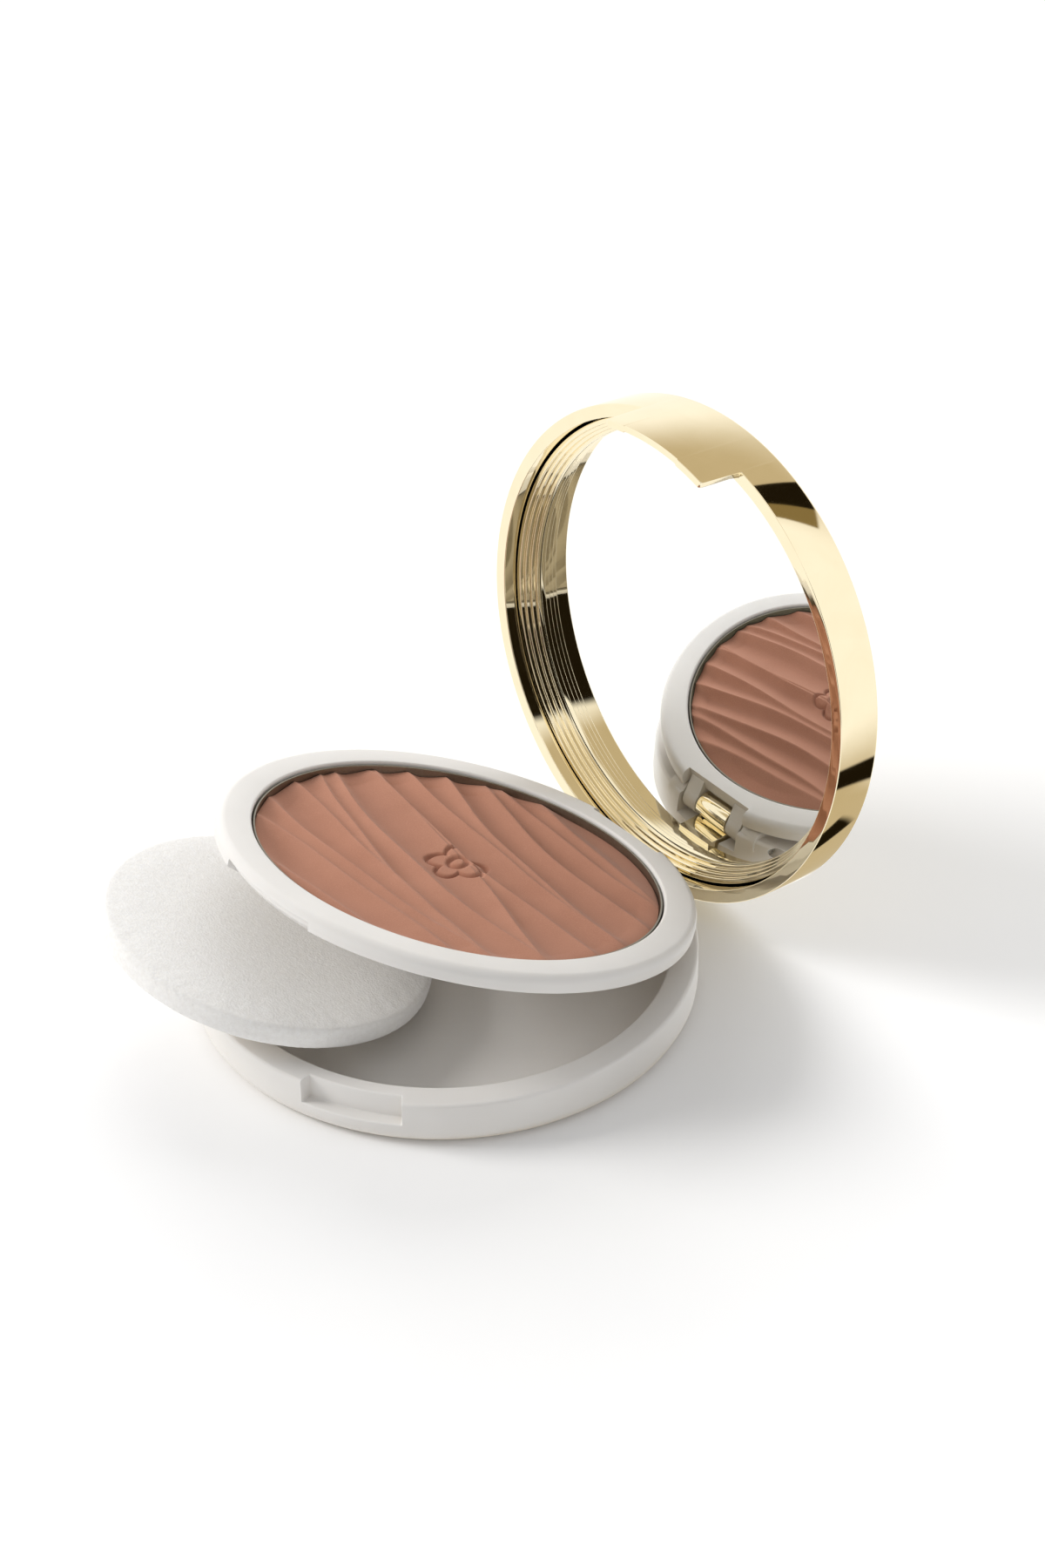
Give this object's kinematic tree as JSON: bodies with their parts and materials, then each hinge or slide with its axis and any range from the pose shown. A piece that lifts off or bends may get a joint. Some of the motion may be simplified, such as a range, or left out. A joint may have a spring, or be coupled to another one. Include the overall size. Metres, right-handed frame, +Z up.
{
  "type": "round powder compact",
  "caption": "Round three-tier powder compact, open: base with sponge bay, hinged powder tray and hinged lid with inset mirror, sponge leaning out in front.",
  "frame": {"origin": "centre of the base's flat underside, which stands on z = 0", "axes": "+Z up from the table; -Y towards the front edge that opens; +Y towards the hinge; +X to the right seen from the front"},
  "size_m": [0.076, 0.0978, 0.078],
  "materials": {
    "white_shell": "smooth moulded, soft gloss",
    "gold_shell": "mirror-bright champagne plating on plastic",
    "mirror": "silvered",
    "tape": "matt foam",
    "pan_metal": "pressed, satin",
    "powder": "pressed powder, embossed",
    "glue": "hot-melt, satin",
    "sponge_foam": "fine-pored, matt",
    "pin_steel": "drawn wire"
  },
  "bodies": {
    "base": {"base_shell": "white_shell", "hinge_pin": "pin_steel"},
    "tray": {"tray_frame": "white_shell", "powder_pan": "pan_metal", "powder_cake": "powder", "pan_adhesive": "glue"},
    "lid": {"lid_shell": "gold_shell", "mirror_bezel": "gold_shell", "mirror_glass": "mirror", "mirror_tape": "tape"},
    "sponge_pad": {"sponge": "sponge_foam"}
  },
  "joints": [
    {"name": "tray_hinge", "type": "hinge", "parent": "base", "child": "tray", "pos_m": [0, 0.0336, 0.0064], "axis": [-1, 0, 0], "range_deg": [-17.8, 4.2]},
    {"name": "lid_hinge", "type": "hinge", "parent": "tray", "child": "lid", "pos_m": [0, 0.0336, 0.0064], "axis": [-1, 0, 0], "range_deg": [-76.8, 3.4]},
    {"name": "sponge_swing", "type": "hinge", "parent": "base", "child": "sponge_pad", "pos_m": [-0.04139, 0.01384, 0.01994], "axis": [-0.4289, 0.019, -0.9032], "range_deg": [-40.9, 9.7]}
  ],
  "couplings": [
    {"joint": "sponge_swing", "follows": "tray_hinge", "ratio": 2.2949}
  ]
}
